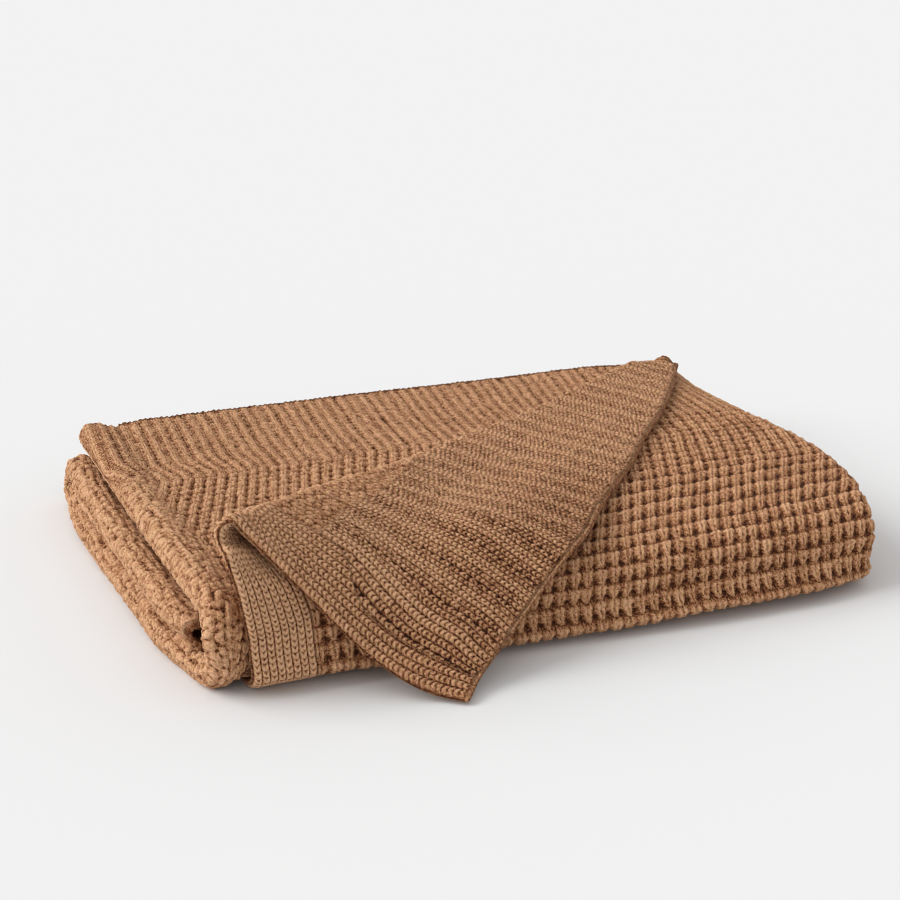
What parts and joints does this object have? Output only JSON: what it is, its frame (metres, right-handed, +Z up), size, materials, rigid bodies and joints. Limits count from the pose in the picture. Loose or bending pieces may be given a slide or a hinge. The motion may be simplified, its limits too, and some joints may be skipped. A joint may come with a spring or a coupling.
{
  "type": "folded knit throw blanket",
  "caption": "Knit throw blanket folded into a flat rectangular bundle, with the loose corner of its top layer rolled over and laid towards the front.",
  "frame": {"origin": "middle of the footprint, on the surface that the bundle lies on", "axes": "+X along the bundle's long side from left to right, +Y from its front fold to its back edge, +Z up"},
  "size_m": [0.6259, 0.513, 0.1273],
  "materials": {
    "knit": "matt cotton yarn, chunky textured knit"
  },
  "bodies": {
    "root": {"knit_throw": "knit"}
  },
  "joints": []
}
